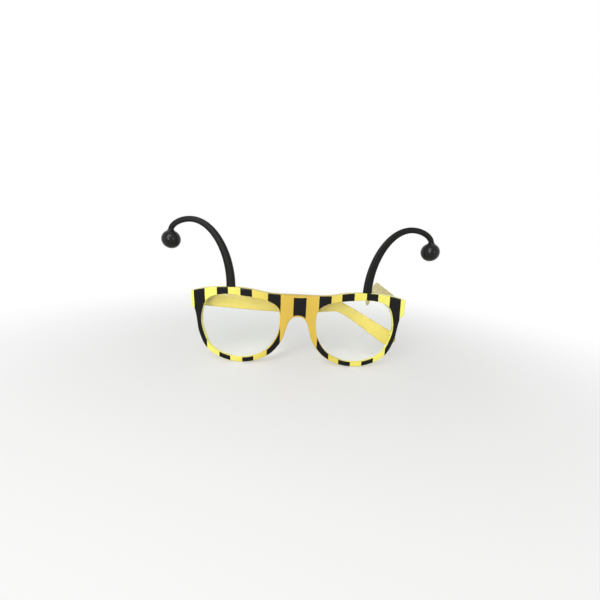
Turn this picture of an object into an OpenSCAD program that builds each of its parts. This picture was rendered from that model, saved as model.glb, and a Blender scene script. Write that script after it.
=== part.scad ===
// Costume glasses: a moulded front with two clear lenses, two folding temples on
// screwed three-knuckle hinges, and a pair of curved antennae with balls on the brow.
// Worn position: the front faces -Y, +Z is up, and left and right are the viewer's.
// The origin is the middle of the bridge's underside, where the glasses sit on the nose.
// At rest the left temple is folded behind the lenses and the right one is open.

/* [Front] */
// Width of each lens opening
lens_w = 54.1; // [50:0.1:56]
// Height of each lens opening
lens_h = 44.8; // [41:0.1:48]
// Distance between the two lens openings
bridge_w = 24.8; // [23:0.1:28]
// Height of the bridge at its middle
bridge_h = 15; // [13:0.5:17]
// Height of the brow bar above the lens openings
brow_h = 5; // [4.5:0.1:7]
// How far the lens openings' tops lie below the bridge's top
opening_drop = 1.5; // [0.8:0.1:2.2]
// Thickness of the front
front_t = 4.6; // [4.4:0.1:5.6]
// Radius of the front's bow, seen from above
face_r = 1200; // [700:20:2000]
// Width of the rim on the temple side
rim_side = 3.4; // [3:0.1:4.6]
// Width of the rim below the lens
rim_bottom = 3.6; // [3:0.1:5]
// Width of the rim beside the nose
rim_nose = 4.7; // [3.8:0.1:5.4]
// Depth of the moulded nose pads behind the front
pad_d = 3.4; // [2:0.2:5]
// How far the endpieces reach past the lens openings
end_w = 7; // [6.8:0.1:10]
// Height of the endpieces at their outer edge
end_h = 10.7; // [9:0.1:12]
// Rounding of the endpieces' corners, seen from the front
end_r = 1.3; // [0.8:0.1:2]
// Depth of the endpieces, from the front's foremost point
end_d = 8.2; // [7.4:0.2:11]
// How far the endpieces' deep parts reach in behind the lens openings' corners
end_in = 4.5; // [2:0.5:7]

/* [Lenses] */
// Thickness of a lens
lens_t = 1.6; // [1.2:0.1:2]
// How deep a lens sits in its groove
lens_seat = 1; // [0.6:0.1:1.4]
// Gap between a lens and its groove
lens_gap = 0.1; // [0.05:0.05:0.2]

/* [Temples] */
// Length of a temple from the hinge axis to the ear bend
bend_l = 94; // [84:1:104]
// Length of the ear piece past the bend, along the straight part
ear_l = 48; // [42:1:56]
// How far the ear piece drops below the straight part's top
ear_drop = 34.5; // [30:0.5:40]
// How far a temple's straight top lies below the bridge's top
temple_drop = 1.6; // [1:0.1:2.4]
// Height of a temple at the hinge
butt_h = 11.4; // [10.4:0.2:12]
// Height of a temple where it is tallest
temple_h = 13.6; // [12:0.2:15]
// Thickness of a temple
temple_t = 3.4; // [3:0.1:4]
// Angle of an open temple from its folded position along the front
open_a = 95; // [90:1:100]
// How far an open temple's side is set in from the endpiece's
temple_inset = 0.4; // [0.2:0.1:0.8]
// Gap between an open temple and its endpiece
butt_gap = 0.2; // [0.15:0.05:0.4]

/* [Hinges] */
// Outer radius of a knuckle
knuckle_r = 1.5; // [1.3:0.1:1.6]
// Height of each of the three knuckles
knuckle_h = 2.2; // [1.8:0.1:2.4]
// Gap between knuckles
knuckle_gap = 0.1; // [0.06:0.02:0.2]
// Distance from the hinge axis to the temple and to the endpiece
hinge_off = 1.8; // [1.8:0.1:2.2]
// Thickness of a hinge leaf
leaf_t = 1; // [0.7:0.1:1.2]
// Length of the temple's hinge leaf
leaf_l = 7; // [5:0.5:10]
// Thickness of the plastic over the temple's hinge leaf
leaf_cover = 0.9; // [0.6:0.1:1.2]
// Radius of the hinge screw
screw_r = 0.7; // [0.5:0.05:0.8]
// Running clearance round the screw
screw_gap = 0.05; // [0.02:0.01:0.09]
// Radius of the screw's head
head_r = 1.3; // [1.1:0.05:1.4]
// Height of the screw's head
head_h = 0.7; // [0.5:0.1:1]

/* [Antennae] */
// Distance of a stem's foot from the middle of the front
stem_x = 46.5; // [42:0.1:50]
// Distance of a ball's centre from the middle of the front
ball_x = 85.6; // [80:0.1:92]
// Height of the arch's top above the brow
arch_h = 43; // [34:0.1:50]
// Distance of the arch's top from the middle of the front
arch_x = 72.4; // [68:0.1:77]
// Drop from the arch's top to the ball's centre
ball_drop = 13.5; // [12:0.1:17]
// Diameter of a ball
ball_d = 12; // [10:0.5:14]
// Width of a stem at its foot
stem_w = 6; // [5:0.2:7]
// Depth of a stem at its foot
stem_d = 3.8; // [3.2:0.1:4.2]
// Diameter of a stem at the ball
stem_tip = 3; // [2.4:0.1:3.4]
// Depth of a stem's plug in the brow
plug_d = 3; // [2:0.1:3.2]
// Depth of a stem's peg in the ball
peg_d = 4; // [2.5:0.1:5]

/* [Hidden] */
$fn = 96;
far = 60;
glue = 0.05;

// Heights below are measured from the bridge's top at the middle of the front.
opening_x = (bridge_w + lens_w) / 2;
opening_z = -opening_drop - lens_h / 2;
brow_z = brow_h - opening_drop;
half_w = bridge_w / 2 + lens_w + end_w;
end_top = -0.13 * brow_z;
end_bottom = end_top - end_h;

// Shape of a lens opening, as shares of its half sizes: outwards, then up
OPENING_SHAPE = [[-0.999, 0.217], [-0.93, 0.65], [-0.594, 0.873], [0.058, 0.983], [0.493, 0.982],
    [0.839, 0.817], [0.981, 0.382], [0.978, -0.08], [0.768, -0.668], [0.304, -0.96], [-0.19, -0.979],
    [-0.634, -0.745], [-0.915, -0.292]];
// Shape of the top edge: share of the half width, then of the brow's height
TOP_SHAPE = [[-0.17, 0.07], [0, 0], [0.17, 0.07], [0.3, 0.23], [0.45, 0.79], [0.62, 1], [0.78, 0.83],
    [0.9, 0.41], [0.99, -0.04], [1.08, -0.5]];

// A point on a smooth curve through b and c, with a and d as the next points
function through(a, b, c, d, t) =
    0.5 * (2 * b + (c - a) * t + (2 * a - 5 * b + 4 * c - d) * t * t + (3 * b - a - 3 * c + d) * t * t * t);
// A closed smooth curve through points p, with n steps between neighbours
function loop(p, n) = let (m = len(p)) [for (i = [0:m - 1], k = [0:n - 1])
    through(p[(i + m - 1) % m], p[i], p[(i + 1) % m], p[(i + 2) % m], k / n)];
// An open smooth curve through points p, without its first and last
function run(p, n) = [for (i = [1:len(p) - 3], k = [0:n - 1])
    through(p[i - 1], p[i], p[i + 1], p[i + 2], k / n)];
// A curve from a to d, drawn towards b and c
function bend(a, b, c, d, t) =
    pow(1 - t, 3) * a + 3 * pow(1 - t, 2) * t * b + 3 * (1 - t) * t * t * c + pow(t, 3) * d;
function arc(a, b, c, d, n) = [for (k = [0:n - 1]) bend(a, b, c, d, k / n)];
function unit(v) = v / norm(v);
function turned(v) = [v[1], -v[0]];
// A closed curve's outward direction at point i, for a curve that runs clockwise
function out(p, i) = let (m = len(p)) -turned(unit(p[(i + 1) % m] - p[(i + m - 1) % m]));
function grown(p, d) = [for (i = [0:len(p) - 1]) p[i] + d * out(p, i)];
function mirrored(p) = [for (i = [len(p) - 1:-1:0]) [-p[i][0], p[i][1]]];

opening = [for (q = loop(OPENING_SHAPE, 6)) [opening_x + q[0] * lens_w / 2, opening_z + q[1] * lens_h / 2]];

// The rim's width changes smoothly from the temple side to the bottom and the nose
function rim_width(v) = v[1] < 0
    ? let (s = v[1] * v[1]) s * rim_bottom + (1 - s) * (v[0] > 0 ? rim_side : rim_nose)
    : v[0] > 0 ? rim_side : rim_nose;
rim_top = opening_z - 0.045 * lens_h;
lower = [for (i = [0:len(opening) - 1]) let (v = out(opening, i), p = opening[i])
    if (p[1] < rim_top) p + rim_width(v) * v];
top_edge = [for (q = run(TOP_SHAPE, 6)) [q[0] * half_w, q[1] * brow_z]];
nose = lower[len(lower) - 1];
under = [0, -bridge_h];
cheek = [half_w - end_r, end_bottom - 0.7 * end_r];
right_half = concat(top_edge,
    arc([half_w - end_r, end_top + 0.2 * end_r], [half_w, end_top], [half_w, end_top],
        [half_w, end_top - end_r], 4),
    arc([half_w, end_bottom + end_r], [half_w, end_bottom], [half_w, end_bottom], cheek, 4),
    arc(cheek, cheek - [1.3, 0.8] * end_r, lower[0] + [0.3, 2.4] * rim_side, lower[0], 12),
    lower,
    arc(nose, nose + [-0.07, 0.25] * bridge_w, under + [0.25 * bridge_w, 0], under, 10));
outline = concat(right_half, mirrored(right_half));
end_box_x = half_w - end_w - end_in;
end_floor = end_bottom - 0.3 * rim_side;

// Depth of the front's surface behind its foremost point, at distance x from the middle
function bow(x) = face_r - sqrt(face_r * face_r - x * x);

// Hinge axis of the right temple, and the levels of its knuckles
hinge_x = half_w - temple_inset - temple_t - hinge_off;
hinge_y = end_d + hinge_off;
hinge_z = -temple_drop - butt_h / 2;
pitch = knuckle_h + knuckle_gap;
leaf_h = 3 * knuckle_h + 2 * knuckle_gap;
// Front end of the temple's leaf, level with the butt where the leaf's outer face meets it
leaf_start = max(-knuckle_r, butt_gap - hinge_off + (hinge_off + leaf_cover + leaf_t) * tan(open_a - 90));

module placed() {
    translate([0, -front_t / 2, bridge_h]) children();
}

module on_left() {
    mirror([1, 0, 0]) children();
}

// A flat shape in X and Z, drawn out along Y
module upright(shape, near, away) {
    translate([0, away, 0]) rotate([90, 0, 0]) linear_extrude(away - near) polygon(shape);
}

// A block bounded in front by the bowed face at the given depth
module behind_face(depth) {
    translate([0, face_r, -3 * far / 2]) cylinder(r = face_r - depth, h = 3 * far, $fn = 360);
}

module bowed_plate(shape, near, away) {
    difference() {
        intersection() {
            upright(shape, near - 1, away + bow(half_w + 1) + 1);
            behind_face(near);
        }
        behind_face(away);
    }
}

module both_sides() {
    children();
    on_left() children();
}

// Moulded pads beside the nose, on the back of the rims
pad_points = [for (i = [0:len(opening) - 1]) let (p = opening[i])
    if (p[0] < opening_x && p[1] < opening_z + 0.1 * lens_h && p[1] > opening_z - 0.38 * lens_h) i];
pad_shape = concat([for (i = pad_points) opening[i] + (lens_seat + 0.06 * rim_nose) * out(opening, i)],
    [for (k = [len(pad_points) - 1:-1:0]) let (i = pad_points[k])
        opening[i] + 0.9 * rim_nose * out(opening, i)]);

// A slot with round ends, long along X, from level z up
module slot(x, w, d, z, h) {
    translate([x, bow(x) + front_t / 2, z]) {
        for (s = [-1, 1]) translate([s * (w - d) / 2, 0, 0]) cylinder(d = d, h = h);
        translate([(d - w) / 2, -d / 2, 0]) cube([w - d, d, h]);
    }
}

module front_frame() {
    color("gold") placed() difference() {
        union() {
            bowed_plate(outline, 0, front_t);
            both_sides() {
                intersection() {
                    upright(outline, 0, end_d);
                    behind_face(0);
                    translate([end_box_x, 0, end_floor]) cube([far, far, far]);
                }
                bowed_plate(pad_shape, front_t / 2, front_t + pad_d);
            }
        }
        both_sides() {
            upright(opening, -far, far);
            bowed_plate(grown(opening, lens_seat + lens_gap), (front_t - lens_t) / 2 - lens_gap,
                (front_t + lens_t) / 2 + lens_gap);
            slot(stem_x, plug_w + 2 * glue, plug_t + 2 * glue, stem_foot - plug_d - glue, far);
            translate([hinge_x - knuckle_r - glue, end_d - leaf_t - glue, hinge_z - leaf_h / 2 - glue])
                cube([2 * knuckle_r + 2 * glue, far, leaf_h + 2 * glue]);
        }
    }
}

module lens_right() {
    color("lightcyan", 0.4) placed()
        bowed_plate(grown(opening, lens_seat), (front_t - lens_t) / 2, (front_t + lens_t) / 2);
}

module lens_left() {
    on_left() lens_right();
}

// Side view of a temple: distance behind the hinge axis, then height from its straight top
butt = -2 * hinge_off;
bend_z = -0.83 * temple_h;
ear_start = [0.894 * bend_l, 0];
ear_low = [bend_l + 0.76 * ear_l, -0.965 * ear_drop];
ear_high = [bend_l + 0.9 * ear_l, -0.705 * ear_drop];
temple_side = concat(
    arc([butt, -butt_h], [0.26 * bend_l, -1.05 * butt_h],
        [0.62 * bend_l, -1.17 * temple_h], [bend_l, bend_z], 12),
    arc([bend_l, bend_z], [bend_l + 0.1 * ear_l, 0.96 * bend_z],
        [bend_l + 0.3 * ear_l, 0.52 * bend_z - 0.35 * ear_drop], ear_low, 12),
    arc(ear_low, [bend_l + 0.92 * ear_l, -1.1 * ear_drop],
        [bend_l + 1.1 * ear_l, -0.914 * ear_drop], ear_high, 10),
    arc(ear_high, [bend_l + 0.3 * ear_l, -0.283 * ear_drop], [1.02 * bend_l, 0], ear_start, 14),
    [ear_start, [butt, 0]]);

// Turns what is drawn for an open right temple to the given angle from the folded position
module turned_to(angle) {
    translate([hinge_x, hinge_y, 0]) rotate([0, 0, open_a - angle]) children();
}

module temple(angle) {
    color("khaki") placed() turned_to(angle) difference() {
        rotate([0, 0, 90 - open_a]) translate([hinge_off, 0, -temple_drop]) rotate([90, 0, 90])
            linear_extrude(temple_t) polygon(temple_side);
        translate([-far, butt_gap - hinge_off - far, -far]) cube([2 * far, far, 2 * far]);
        rotate([0, 0, 90 - open_a]) {
            translate([hinge_off + leaf_cover - glue, -far, hinge_z - leaf_h / 2 - glue])
                cube([leaf_t + 2 * glue, far + leaf_start + leaf_l + glue, leaf_h + 2 * glue]);
            translate([0, -far, hinge_z - knuckle_h / 2 - glue])
                cube([hinge_off + leaf_cover, far + knuckle_r + glue, knuckle_h + 2 * glue]);
        }
    }
}

module temple_right() {
    temple(open_a);
}

module temple_left() {
    on_left() temple(0);
}

// One knuckle on the hinge axis at level n below or above the middle one, with its bore
module knuckle(n) {
    translate([0, 0, hinge_z + n * pitch - knuckle_h / 2]) cylinder(r = knuckle_r, h = knuckle_h);
}

module screw_bore() {
    translate([0, 0, hinge_z - 2 * pitch]) cylinder(r = screw_r + screw_gap, h = 4 * pitch);
}

module front_hinge_right() {
    color("silver") placed() translate([hinge_x, hinge_y, 0]) difference() {
        union() {
            translate([-knuckle_r, -hinge_off - leaf_t, hinge_z - leaf_h / 2])
                cube([2 * knuckle_r, leaf_t, leaf_h]);
            for (n = [-1, 1]) {
                knuckle(n);
                translate([-knuckle_r, -hinge_off - leaf_t / 2, hinge_z + n * pitch - knuckle_h / 2])
                    cube([2 * knuckle_r, hinge_off + leaf_t / 2, knuckle_h]);
            }
        }
        screw_bore();
    }
}

module front_hinge_left() {
    on_left() front_hinge_right();
}

module temple_hinge(angle) {
    color("silver") placed() turned_to(angle) rotate([0, 0, 90 - open_a]) difference() {
        union() {
            translate([hinge_off + leaf_cover, leaf_start, hinge_z - leaf_h / 2])
                cube([leaf_t, leaf_l, leaf_h]);
            knuckle(0);
            translate([0, leaf_start, hinge_z - knuckle_h / 2])
                cube([hinge_off + leaf_cover + leaf_t / 2, knuckle_r - leaf_start, knuckle_h]);
        }
        screw_bore();
    }
}

module temple_hinge_right() {
    temple_hinge(open_a);
}

module temple_hinge_left() {
    on_left() temple_hinge(0);
}

module hinge_screw_right() {
    color("dimgray") placed() translate([hinge_x, hinge_y, hinge_z - leaf_h / 2]) difference() {
        union() {
            cylinder(r = screw_r, h = leaf_h + head_h);
            translate([0, 0, leaf_h]) cylinder(r = head_r, h = head_h);
        }
        translate([-far, -0.2, leaf_h + head_h / 2]) cube([2 * far, 0.4, head_h]);
    }
}

module hinge_screw_left() {
    on_left() hinge_screw_right();
}

// The stem's centre line: two arcs from its foot over the arch's top to the ball
stem_foot = brow_z + 0.02;
arch_z = brow_z + arch_h;
ball_z = arch_z - ball_drop;
stem_end = ball_z + ball_d / 2 - 0.5;
plug_w = stem_w - 1.2;
plug_t = stem_d - 1.2;
foot = [stem_x, stem_foot];
crown = [arch_x, arch_z];
last = [ball_x, stem_end];
function stem_point(t) = t < 0.75
    ? bend(foot, foot + [0, 0.5 * arch_h], crown - [0.58 * (arch_x - stem_x), 0], crown, t / 0.75)
    : bend(crown, crown + [0.56 * (ball_x - arch_x), 0], last + [0, 0.45 * (arch_z - stem_end)], last,
        (t - 0.75) / 0.25);
function stem_aim(t) = t == 0 ? [0, 1] : t == 1 ? [0, -1]
    : unit(stem_point(t + 0.004) - stem_point(t - 0.004));
sides = 16;
rings = 36;
stem_rings = [for (i = [0:rings]) let (t = i / rings, p = stem_point(t), side = turned(stem_aim(t)),
    w = (stem_w + (stem_tip - stem_w) * t) / 2, d = (stem_d + (stem_tip - stem_d) * t) / 2)
    for (k = [0:sides - 1]) let (a = 360 * k / sides)
        [p[0] + w * cos(a) * side[0], d * sin(a), p[1] + w * cos(a) * side[1]]];
stem_faces = concat([[for (k = [0:sides - 1]) k]],
    [for (i = [0:rings - 1], k = [0:sides - 1]) let (a = i * sides + k, b = i * sides + (k + 1) % sides)
        each [[a, a + sides, b], [b, a + sides, b + sides]]],
    [[for (k = [sides - 1:-1:0]) rings * sides + k]]);

module antenna_stem_right() {
    color("dimgray") placed() union() {
        translate([0, bow(stem_x) + front_t / 2, 0]) polyhedron(stem_rings, stem_faces);
        slot(stem_x, plug_w, plug_t, stem_foot - plug_d, plug_d + 1);
        translate([ball_x, bow(stem_x) + front_t / 2, stem_end - peg_d])
            cylinder(r = stem_tip / 2 - 0.4, h = peg_d + 0.6);
    }
}

module antenna_stem_left() {
    on_left() antenna_stem_right();
}

module antenna_ball_right() {
    color("black") placed() translate([ball_x, bow(stem_x) + front_t / 2, 0]) difference() {
        translate([0, 0, ball_z]) sphere(d = ball_d);
        translate([0, 0, stem_end - peg_d - 0.3]) cylinder(r = stem_tip / 2 - 0.4 + glue, h = ball_d);
        translate([0, 0, stem_end - 0.05]) cylinder(r = stem_tip / 2 + 0.15, h = ball_d);
    }
}

module antenna_ball_left() {
    on_left() antenna_ball_right();
}

front_frame();
lens_left();
lens_right();
temple_left();
temple_right();
front_hinge_left();
front_hinge_right();
temple_hinge_left();
temple_hinge_right();
hinge_screw_left();
hinge_screw_right();
antenna_stem_left();
antenna_stem_right();
antenna_ball_left();
antenna_ball_right();
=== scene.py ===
import bmesh
import bpy
import numpy as np
from mathutils import Matrix, Vector


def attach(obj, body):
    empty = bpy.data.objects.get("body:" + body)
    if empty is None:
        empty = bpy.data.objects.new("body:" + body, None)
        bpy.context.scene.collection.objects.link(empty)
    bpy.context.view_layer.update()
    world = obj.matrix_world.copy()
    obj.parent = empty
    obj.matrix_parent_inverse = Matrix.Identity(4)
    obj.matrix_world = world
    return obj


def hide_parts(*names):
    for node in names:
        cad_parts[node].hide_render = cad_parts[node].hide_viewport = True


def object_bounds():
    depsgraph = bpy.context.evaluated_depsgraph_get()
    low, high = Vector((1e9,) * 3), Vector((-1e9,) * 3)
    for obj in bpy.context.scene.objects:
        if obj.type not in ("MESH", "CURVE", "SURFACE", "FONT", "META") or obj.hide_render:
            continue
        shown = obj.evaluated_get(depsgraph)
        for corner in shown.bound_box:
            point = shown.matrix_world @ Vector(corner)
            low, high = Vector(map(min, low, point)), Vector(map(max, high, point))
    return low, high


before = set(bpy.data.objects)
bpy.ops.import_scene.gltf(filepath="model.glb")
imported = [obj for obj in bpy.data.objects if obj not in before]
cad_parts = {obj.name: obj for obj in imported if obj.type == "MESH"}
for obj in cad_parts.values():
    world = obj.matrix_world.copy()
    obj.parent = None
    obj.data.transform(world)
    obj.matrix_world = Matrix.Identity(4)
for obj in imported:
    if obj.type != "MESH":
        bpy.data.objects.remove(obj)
cad_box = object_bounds()

# The costume glasses are drawn in millimetres, as worn: the front faces -Y and +Z is up.
# Heights are measured from the bridge's top, as a frame maker draws them, and every
# mesh is set into the CAD frame, in metres, by placed().


# Camera: a phone held close above the glasses, a little to the viewer's left, and not
# quite level. Its place, direction and focal length were fitted to the front's outline.
MM = 0.001
LOOK_POINT = np.array([0.75, -2.3, 12.04])
CAMERA_DISTANCE = 195.0
CAMERA_PITCH, CAMERA_YAW, CAMERA_ROLL = np.radians([12.0, 0.97, 2.94])
FOCAL_LENGTH, SENSOR_WIDTH = 17.32, 36.0


def camera_axes(pitch, yaw, roll):
    """The right, up and backward directions of a camera that looks down by pitch and
    to its right by yaw, and then turns about its own line of sight by roll."""
    ahead = np.array([np.sin(yaw) * np.cos(pitch), np.cos(yaw) * np.cos(pitch), -np.sin(pitch)])
    level = np.array([np.cos(yaw), -np.sin(yaw), 0.0])
    upright = np.cross(level, ahead)
    right = level * np.cos(roll) + upright * np.sin(roll)
    up = upright * np.cos(roll) - level * np.sin(roll)
    return right, up, -ahead


right, up, backward = camera_axes(CAMERA_PITCH, CAMERA_YAW, CAMERA_ROLL)
eye = (LOOK_POINT + CAMERA_DISTANCE * backward) * MM
camera = bpy.data.objects.new("camera", bpy.data.cameras.new("camera"))
camera.data.lens = FOCAL_LENGTH
camera.data.sensor_width = SENSOR_WIDTH
camera.data.clip_start = 0.005
turned = np.array([right, up, backward]).T
camera.matrix_world = Matrix([[*row, place] for row, place in zip(turned, eye)] + [[0, 0, 0, 1]])
bpy.context.scene.collection.objects.link(camera)
bpy.context.scene.camera = camera


# Studio: a plain pale floor that fades into the white round it. A soft lamp hangs near
# the brow, a second one stands well in front, and two narrow ones give highlights.
def node(tree, kind, inputs=(), **settings):
    """A shader node with its settings, and its inputs set to values or linked to sockets."""
    made = tree.nodes.new("ShaderNode" + kind)
    for name, value in settings.items():
        setattr(made, name, value)
    for name, value in dict(inputs).items():
        if isinstance(value, bpy.types.NodeSocket):
            tree.links.new(value, made.inputs[name])
        else:
            made.inputs[name].default_value = value
    return made


def seen_directly(tree):
    """1 for rays from the camera, from gloss and through glass, and 0 for light itself."""
    path = node(tree, "LightPath").outputs
    either = node(tree, "Math", {0: path["Is Camera Ray"], 1: path["Is Glossy Ray"]},
                  operation="MAXIMUM")
    return node(tree, "Math", {0: either.outputs[0], 1: path["Is Transmission Ray"]},
                operation="MAXIMUM").outputs[0]


world = bpy.data.worlds.new("studio")
world.use_nodes = True
bpy.context.scene.world = world
tree = world.node_tree
tree.nodes.clear()
soft_light = node(tree, "Background", {"Color": (1, 1, 1, 1), "Strength": 0.45})
white_room = node(tree, "Background", {"Color": (1, 1, 1, 1), "Strength": 1.0})
either = node(tree, "MixShader", {0: seen_directly(tree), 1: soft_light.outputs[0],
                                  2: white_room.outputs[0]})
node(tree, "OutputWorld", {"Surface": either.outputs[0]})

FLOOR_RADIUS, FLOOR_GAP = 6.0, 0.0002
bpy.ops.mesh.primitive_circle_add(vertices=96, radius=FLOOR_RADIUS, fill_type="NGON",
                                  location=(0, 0, cad_box[0][2] - FLOOR_GAP))
floor = bpy.context.object
floor.name = "floor"
floor.data.materials.append(bpy.data.materials.new("pale_floor"))
floor.data.materials[0].use_nodes = True
tree = floor.data.materials[0].node_tree
tree.nodes.clear()
place = node(tree, "TexCoord").outputs["Object"]
away = node(tree, "VectorMath", {0: place}, operation="LENGTH").outputs["Value"]
fade = node(tree, "MapRange", {"Value": away, "From Min": 0.02, "From Max": 0.34,
                               "To Min": 0.3, "To Max": 1.0}, interpolation_type="SMOOTHSTEP")
fade = node(tree, "Math", {0: fade.outputs[0], 1: seen_directly(tree)}, operation="MULTIPLY")
matt = node(tree, "BsdfPrincipled", {"Base Color": (0.86, 0.86, 0.85, 1), "Roughness": 0.9,
                                     "Specular IOR Level": 0.1})
glow = node(tree, "Emission", {"Color": (1, 1, 1, 1), "Strength": 1.0})
either = node(tree, "MixShader", {0: fade.outputs[0], 1: matt.outputs[0], 2: glow.outputs[0]})
node(tree, "OutputMaterial", {"Surface": either.outputs[0]})

# name, place, width, height and power of each lamp, in metres and watts. All face the nose.
LAMPS = [("brow_lamp", (-0.08, -0.26, 0.27), 0.20, 0.20, 0.48),
         ("front_lamp", (-0.28, -0.62, 0.30), 0.30, 0.30, 1.1),
         ("left_strip", (-0.17, -0.50, 0.07), 0.05, 0.11, 0.42),
         ("right_strip", (0.32, -0.39, 0.10), 0.04, 0.08, 0.16)]
for name, place, width, height, power in LAMPS:
    lamp = bpy.data.objects.new(name, bpy.data.lights.new(name, "AREA"))
    lamp.data.shape = "RECTANGLE"
    lamp.data.size, lamp.data.size_y = width, height
    lamp.data.energy = power
    lamp.location = place
    lamp.rotation_euler = Vector(place).to_track_quat("Z", "Y").to_euler()
    bpy.context.scene.collection.objects.link(lamp)


# Front: one glossy yellow moulding with the brow bar, both rims, the bridge, the two
# endpieces and the nose pads. Black stripes are printed on its front face only.
LENS_W, LENS_H = 54.1, 44.8                      # the openings
BRIDGE_W, BRIDGE_H = 24.8, 15.0
BROW_H, OPENING_DROP = 5.0, 1.5
FRONT_T, FACE_R = 4.6, 1200.0                    # the plate's thickness and bow
RIM_SIDE, RIM_BOTTOM, RIM_NOSE = 3.4, 3.6, 4.7   # the rims' widths
END_W, END_H, END_R, END_D, END_IN = 7.0, 10.7, 1.3, 8.2, 4.5   # the endpieces
OPENING_X = (BRIDGE_W + LENS_W) / 2
OPENING_Z = -OPENING_DROP - LENS_H / 2
BROW_Z = BROW_H - OPENING_DROP
HALF_W = BRIDGE_W / 2 + LENS_W + END_W
END_TOP = -0.13 * BROW_Z
END_BOTTOM = END_TOP - END_H
END_FLOOR = END_BOTTOM - 0.3 * RIM_SIDE
# The opening's shape in shares of its half sizes, and the top edge's in shares of the
# half width and of the brow's height
OPENING_SHAPE = [[-0.999, 0.217], [-0.93, 0.65], [-0.594, 0.873], [0.058, 0.983],
                 [0.493, 0.982], [0.839, 0.817], [0.981, 0.382], [0.978, -0.08],
                 [0.768, -0.668], [0.304, -0.96], [-0.19, -0.979], [-0.634, -0.745],
                 [-0.915, -0.292]]
TOP_SHAPE = [[-0.17, 0.07], [0, 0], [0.17, 0.07], [0.3, 0.23], [0.45, 0.79], [0.62, 1],
             [0.78, 0.83], [0.9, 0.41], [0.99, -0.04], [1.08, -0.5]]


def spans(a, b, c, d, steps):
    """Points on the smooth cubic from b to c whose slopes follow their neighbours a and d,
    for every span at once (a Catmull-Rom curve)."""
    a, b, c, d = (np.asarray(p, float)[:, None] for p in (a, b, c, d))
    t = np.linspace(0, 1, steps, endpoint=False)[None, :, None]
    curve = 2 * b + (c - a) * t + (2 * a - 5 * b + 4 * c - d) * t**2
    curve = curve + (3 * b - a - 3 * c + d) * t**3
    return 0.5 * curve.reshape(-1, 2)


def bend(a, b, c, d, t):
    """Points at shares t of the curve from a to d that is drawn towards b and c."""
    t = np.asarray(t, float)[..., None]
    a, b, c, d = (np.asarray(p, float) for p in (a, b, c, d))
    return (1 - t)**3 * a + 3 * (1 - t)**2 * t * b + 3 * (1 - t) * t**2 * c + t**3 * d


def lengths(curve):
    """Distance along a polyline to each of its points."""
    return np.concatenate([[0], np.cumsum(np.linalg.norm(np.diff(curve, axis=0), axis=1))])


def at_length(curve, s):
    """Points at distances s along a polyline."""
    run = lengths(curve)
    return np.stack([np.interp(s, run, curve[:, k]) for k in range(curve.shape[1])], -1)


def nearest_length(curve, point):
    """Distance along a polyline to its point nearest to the given one."""
    return lengths(curve)[np.argmin(np.linalg.norm(curve - point, axis=1))]


def outward(curve, closed):
    """Unit normals to the left of a curve's direction of travel, which is outwards for one
    that runs clockwise, from the difference of each point's neighbours."""
    if closed:
        step = np.roll(curve, -1, 0) - np.roll(curve, 1, 0)
    else:
        step = np.gradient(curve, axis=0)
    step = step / np.linalg.norm(step, axis=1, keepdims=True)
    return np.stack([-step[:, 1], step[:, 0]], -1)


def ease(low, high, x):
    """0 below low and 1 above high, with a smooth S between."""
    t = np.clip((x - low) / (high - low), 0, 1)
    return t * t * (3 - 2 * t)


def blurred(values, weights, kind):
    """A row of values averaged with the given weights. It goes on past both ends as its own
    mirror image: turned over where kind is odd, and upright where it is even."""
    wide = np.pad(values, len(weights) // 2, mode="reflect", reflect_type=kind)
    return np.convolve(wide, weights / np.sum(weights), "valid")


def bow(x):
    """How far the front's face curves back at distance x from the middle: the sagitta of
    a circle of radius FACE_R."""
    return FACE_R - np.sqrt(FACE_R**2 - x**2)


opening = spans(*(np.roll(OPENING_SHAPE, k, 0) for k in (1, 0, -1, -2)), 30)
opening = opening * [LENS_W / 2, LENS_H / 2] + [OPENING_X, OPENING_Z]


def front_outline():
    """The right half of the front's edge, clockwise from the bridge's top to its underside:
    the brow's smooth curve, which stops just short of the corner, three bends round the
    endpiece, the opening's own curve moved out by the rim's width, and a bend from the rim
    to the bridge's underside."""
    shape = np.array(TOP_SHAPE)
    top = spans(shape[:-3], shape[1:-2], shape[2:-1], shape[3:], 24) * [HALF_W, BROW_Z]
    top = top[top[:, 0] < HALF_W - 1.35 * END_R]
    away = outward(opening, True)
    side = np.where(away[:, 0] > 0, RIM_SIDE, RIM_NOSE)
    width = side + (RIM_BOTTOM - side) * np.where(away[:, 1] < 0, away[:, 1]**2, 0)
    rim = opening + width[:, None] * away
    lower = rim[opening[:, 1] < OPENING_Z - 0.045 * LENS_H]
    corner = bend([HALF_W - END_R, END_TOP + 0.2 * END_R], [HALF_W, END_TOP], [HALF_W, END_TOP],
                  [HALF_W, END_TOP - END_R], np.linspace(0, 1, 16, endpoint=False))
    cheek = np.array([HALF_W - END_R, END_BOTTOM - 0.7 * END_R])
    chin = bend([HALF_W, END_BOTTOM + END_R], [HALF_W, END_BOTTOM], [HALF_W, END_BOTTOM], cheek,
                np.linspace(0, 1, 16, endpoint=False))
    side = bend(cheek, cheek - [1.3 * END_R, 0.8 * END_R],
                lower[0] + [0.3 * RIM_SIDE, 2.4 * RIM_SIDE], lower[0],
                np.linspace(0, 1, 48, endpoint=False))
    nose = bend(lower[-1], lower[-1] + [-0.07 * BRIDGE_W, 0.25 * BRIDGE_W],
                [0.25 * BRIDGE_W, -BRIDGE_H], [0, -BRIDGE_H], np.linspace(0, 1, 41))
    return np.vstack([top, corner, chin, side, lower, nose]), lower


outline, lower_rim = front_outline()

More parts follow.
